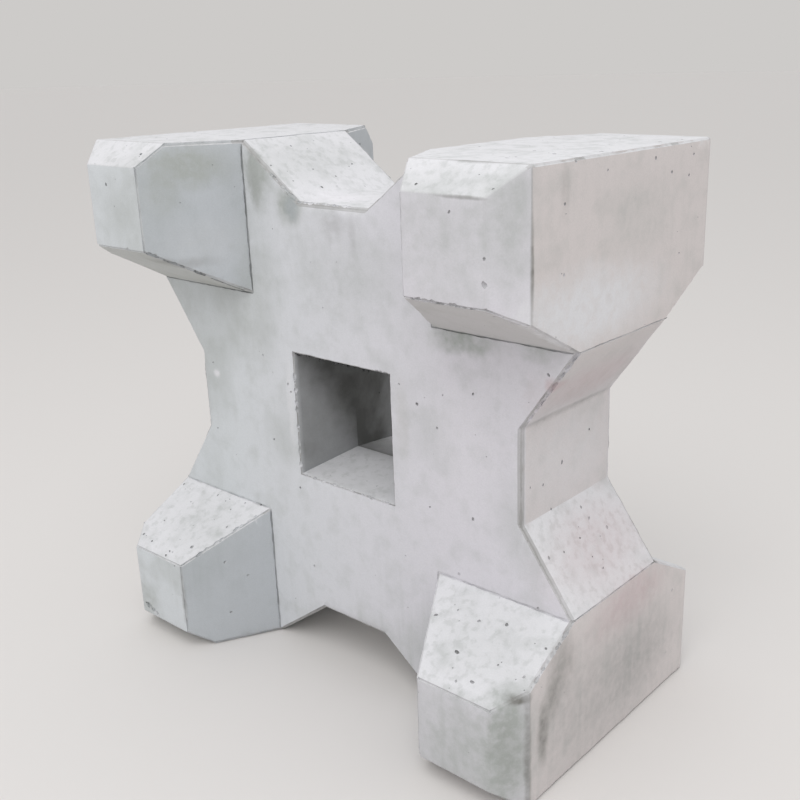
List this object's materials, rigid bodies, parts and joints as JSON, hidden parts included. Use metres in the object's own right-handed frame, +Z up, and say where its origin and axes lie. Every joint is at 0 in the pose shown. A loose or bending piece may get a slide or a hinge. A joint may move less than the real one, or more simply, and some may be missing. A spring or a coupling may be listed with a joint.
{
  "type": "concrete armour unit",
  "caption": "Cast concrete armour unit: a square web with a central opening and notched sides, and tapered legs at the corners of both faces.",
  "frame": {"origin": "on the floor, under the middle of the block", "axes": "+Z up, opening along Y with the pictured face towards -Y, +X to the right of that face"},
  "size_m": [1, 0.6, 1],
  "materials": {
    "concrete": "pale grey cast concrete, matt, with bug holes, worn arrises and water stains"
  },
  "bodies": {
    "root": {"armour_unit": "concrete"}
  },
  "joints": []
}
